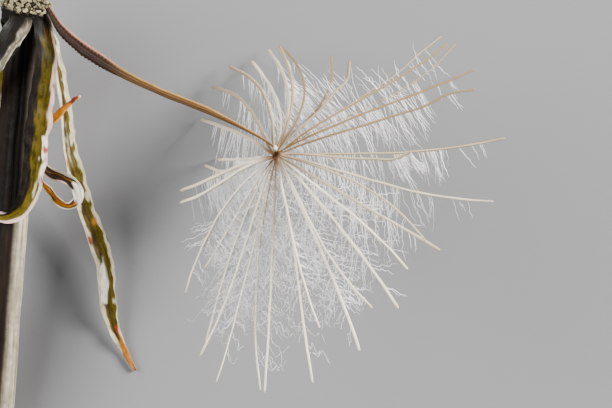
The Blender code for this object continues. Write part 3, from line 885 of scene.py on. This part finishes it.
# The bracts. Each is painted with stripes along it and patches on it. Across runs from -1 at the
# right-hand margin to 1 at the left, seen from outside with the base up; along from 0 to 1 at the tip.
PALE, OLIVE, DARK = (184, 174, 148), (76, 64, 4), (12, 8, 5)
ROSY, ORANGE, RUST = (204, 172, 160), (146, 90, 18), (140, 32, 8)
BROWN, GREY, WHITE = (42, 28, 14), (124, 114, 94), (232, 224, 206)
PAINT = {
    # Its base colour, its stripes (across, half width, strength, colour) and its patches (along,
    # across, size along, size across, colour)
    "bract_front": (
        # Painted shade: the DARK base shows on the bract's left part, which is in shade, and the DARK patch
        # at 0.05 along darkens its top under the knob
        DARK,
        ((-0.28, 0.52, 0.95, OLIVE), (-0.05, 0.05, 0.6, DARK), (-0.5, 0.04, 0.5, DARK),
         (-0.93, 0.26, 1.0, ROSY), (0.35, 0.03, 0.5, BROWN), (0.62, 0.04, 0.4, BROWN)),
        ((0.54, -0.8, 0.03, 0.2, WHITE), (0.59, -0.62, 0.035, 0.12, WHITE), (0.64, -0.8, 0.03, 0.22, WHITE),
         (0.68, -0.55, 0.03, 0.1, PALE), (0.57, -0.95, 0.012, 0.2, RUST), (0.7, -0.9, 0.012, 0.2, RUST),
         (0.75, -0.9, 0.05, 0.3, PALE), (0.97, 0.9, 0.1, 0.35, ROSY), (0.05, 0.0, 0.05, 1.5, DARK),
         (0.12, -0.5, 0.06, 0.25, (88, 60, 12))),
    ),
    "bract_long": (
        OLIVE,
        ((0.05, 0.2, 0.8, BROWN), (0.8, 0.38, 1.0, PALE), (-0.92, 0.2, 0.95, PALE),
         (0.45, 0.05, 0.6, DARK), (-0.4, 0.06, 0.6, BROWN)),
        ((0.15, 0.4, 0.2, 0.28, PALE), (0.2, -0.65, 0.24, 0.2, PALE), (0.34, 0.0, 0.06, 0.2, GREY),
         (0.4, 0.7, 0.012, 0.2, RUST), (0.62, 0.75, 0.014, 0.25, RUST), (0.58, -0.5, 0.01, 0.2, ORANGE),
         (0.75, 0.2, 0.06, 0.5, WHITE), (0.88, -0.4, 0.012, 0.2, RUST), (0.97, 0.0, 0.06, 1.5, ORANGE)),
    ),
    "bract_left": (
        # Painted shade: the DARK base over the bract's body, which is in shade. Painted highlight: the GREY
        # band along its right margin; the PALE margin there is partly its own pale edge and partly painted
        # highlight
        DARK,
        ((-0.68, 0.32, 0.5, GREY), (-0.95, 0.07, 0.7, PALE), (-0.5, 0.04, 0.3, PALE)),
        ((0.9, 0.0, 0.1, 1.2, PALE),),
    ),
    "bract_spike": (
        ORANGE,
        ((0.75, 0.25, 0.6, RUST), (-0.7, 0.25, 0.7, (196, 132, 44))),
        ((0.1, 0.0, 0.15, 1.5, BROWN), (0.95, 0.0, 0.035, 1.0, (96, 24, 10)), (1.0, 0.0, 0.01, 1.5, ROSY)),
    ),
    "bract_loop": (
        BROWN,
        ((0.87, 0.24, 1.0, PALE), (-0.9, 0.18, 0.9, ROSY), (0.1, 0.1, 0.6, ORANGE)),
        ((0.77, 0.0, 0.045, 1.6, WHITE), (0.92, -0.1, 0.1, 0.75, ORANGE), (0.1, 0.0, 0.1, 1.5, BROWN)),
    ),
    "bract_far_left": (
        BROWN,
        ((0.85, 0.25, 0.9, GREY), (-0.85, 0.25, 0.9, GREY), (0.3, 0.25, 0.8, OLIVE)),
        ((0.95, 0.0, 0.08, 1.5, ORANGE),),
    ),
    "bract_under_left": (
        BROWN,
        ((0.8, 0.3, 0.9, GREY), (-0.85, 0.2, 0.8, ORANGE), (0.0, 0.2, 0.8, OLIVE)),
        ((0.96, 0.0, 0.07, 1.5, RUST),),
    ),
    "bract_under_right": (
        BROWN,
        ((0.82, 0.28, 1.0, PALE), (-0.8, 0.3, 1.0, GREY), (-0.1, 0.25, 0.9, OLIVE)),
        ((0.95, 0.0, 0.08, 1.5, ORANGE),),
    ),
}


def painted(node, along, across, ragged):
    """A bract's colours from its stripes and patches, whose edges are ragged, with painted shade at its
    top, under the knob.
    """
    base, stripes, patches = PAINT[node]
    tints = colour(*base) + np.zeros((*along.shape, 3))
    for place, half, strength, tone in stripes:
        off = np.abs(across + 0.14 * ragged - place) / half
        tints = mix(tints, colour(*tone), strength * (1 - ease(0.75, 1.15, off)))
    for where, place, long, wide, tone in patches:
        off = np.hypot((along - where) / long, (across + 0.1 * ragged - place) / wide)
        tints = mix(tints, colour(*tone), 0.95 * (1 - ease(0.6, 1.1, off + 0.4 * ragged)))
    # Painted shade: the top of the bract, under the knob, is darkened
    return mix(tints, colour(*DARK), 0.9 * (1 - ease(0.02, BRACT_SHADED, along + 0.01 * ragged)))


def make_bract(node, number, materials):
    """A withered leaf: a thin strip with raised veins, papery uneven margins and wrinkles."""
    rng = np.random.default_rng([SEED, 110 + number])
    strip = strip_of(node, STRIP_STEPS, CLEAR_OF_ENDS["bract"])
    knob = middle_of("receptacle")
    strip[:FOOT_ROWS, 6] = np.maximum(strip[:FOOT_ROWS, 6], strip[FOOT_ROWS, 6])
    root = strip[0].copy()
    root[:3] += (knob - root[:3]) * BRACT_ROOT
    root[7] *= 0.5
    strip = np.vstack([root, strip])
    length = lengths_along(strip[:, :3])[-1]
    strip = smooth(strip, int(length / BRACT_STEP))
    line, half, bend = strip[:, :3], strip[:, 6:7], strip[:, 7:8]
    forward = unit(np.gradient(line, axis=0))
    sideways = unit(strip[:, 3:6] - forward * dot(strip[:, 3:6], forward))
    face = np.cross(sideways, forward)
    run = lengths_along(line)[:, None]
    share = run / run[-1]

    outer = -np.cos(np.linspace(0, math.pi, BRACT_COLUMNS))
    across = np.concatenate([outer, outer[-2:0:-1]])
    skin = np.concatenate([np.ones(BRACT_COLUMNS), -np.ones(BRACT_COLUMNS - 2)])
    skin[[0, BRACT_COLUMNS - 1]] = 0
    u, v = np.broadcast_arrays(share, across)
    ragged = wobble(rng, places_at(v * 1.2, run * 0.35), 0.5)
    crinkle = wobble(rng, places_at(v * 1.3, run * 0.5), 1.0)
    uneven = wobble(rng, places_at(np.sign(v) * 9, run), 1.6)
    reach = v * half * (1 + 0.06 * uneven * np.abs(v) ** 3)
    veins = VEIN_HEIGHT * np.cos(math.pi * BRACT_VEINS * v) * (1 - v**2)
    rise = bend * v**2 + veins + CRINKLES * crinkle + MARGIN_WAVES * uneven * np.abs(v) ** 4
    wall = BRACT_EDGE + (BRACT_WALL - BRACT_EDGE) * np.sqrt(np.maximum(1 - v**2, 0))
    rise = rise + skin * wall / 2
    spots = line[:, None] + sideways[:, None] * reach[..., None] + face[:, None] * rise[..., None]
    points, faces = tubes(spots[None, :, ::-1])
    tints = painted(node, u, v, ragged)[:, ::-1].reshape(-1, 3)
    grain = places_at(v * half, 0.3 * skin, run + 30 * number)[:, ::-1].reshape(-1, 3)
    mesh = mesh_of(f"withered_{node}", points, faces, tints, grain, [materials["bract"]])
    piece(f"withered_{node}", mesh, node)


# The floor, the lights and the camera


def make_floor():
    nodes = Nodes("pale_floor")
    spots = nodes.add("ShaderNodeTexCoord").outputs["Object"]
    cloud = nodes.spread(nodes.noise(spots, 12.0), 0.97, 1.03)
    tone = nodes.add("ShaderNodeVectorMath", operation="SCALE")
    tone.inputs[0].default_value = FLOOR_TONE
    nodes.link(cloud, tone.inputs["Scale"])
    nodes.link(tone.outputs["Vector"], nodes.shader.inputs["Base Color"])
    nodes.shader.inputs["Roughness"].default_value = 0.9
    mesh = bpy.data.meshes.new("floor")
    shape = bmesh.new()
    bmesh.ops.create_grid(shape, x_segments=1, y_segments=1, size=FLOOR_HALF_SIZE)
    shape.to_mesh(mesh)
    shape.free()
    mesh.materials.append(nodes.material)
    floor = bpy.data.objects.new("floor", mesh)
    floor.location.z = -FLOOR_BELOW * MM
    bpy.context.scene.collection.objects.link(floor)


def area_light(name, place, size, power, tone, aim):
    lamp = bpy.data.lights.new(name, "AREA")
    lamp.size = size
    lamp.energy = power
    lamp.color = tone
    light = bpy.data.objects.new(name, lamp)
    light.location = place
    light.rotation_euler = (aim - Vector(place)).to_track_quat("-Z", "Y").to_euler()
    bpy.context.scene.collection.objects.link(light)


def make_lights():
    aim = Vector(HUB) * MM
    area_light("key", (0.50, 0.22, 0.36), 0.26, 19.0, (1.0, 0.985, 0.96), aim)
    area_light("fill", (-0.46, 0.12, 0.34), 0.40, 8.0, (0.98, 0.985, 1.0), aim)
    world = bpy.data.worlds.new("studio")
    world.use_nodes = True
    sky = world.node_tree.nodes["Background"]
    sky.inputs["Color"].default_value = (0.97, 0.98, 1.0, 1)
    sky.inputs["Strength"].default_value = 0.25
    bpy.context.scene.world = world


def make_camera():
    """Straight down over the seed head, with a long lens, and +Y up in the picture."""
    camera = bpy.data.cameras.new("camera")
    camera.sensor_width = 36
    camera.lens = 800
    distance = VIEW_WIDTH * camera.lens / camera.sensor_width
    made = bpy.data.objects.new("camera", camera)
    made.location = Vector(HUB + (*VIEW_FROM_HUB, distance)) * MM
    camera.clip_start, camera.clip_end = 0.05, 20
    bpy.context.scene.collection.objects.link(made)
    bpy.context.scene.camera = made


HUB = middle_of("pappus_collar")
AXIS = umbrella_axis()
materials = make_materials()
for node in sorted(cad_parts):
    if node.startswith("ray_"):
        make_ray(node, materials)
make_collar(materials)
make_achene(materials)
make_stem(materials)
make_knob(materials)
for number, node in enumerate(PAINT):
    make_bract(node, number, materials)
make_floor()
make_lights()
make_camera()
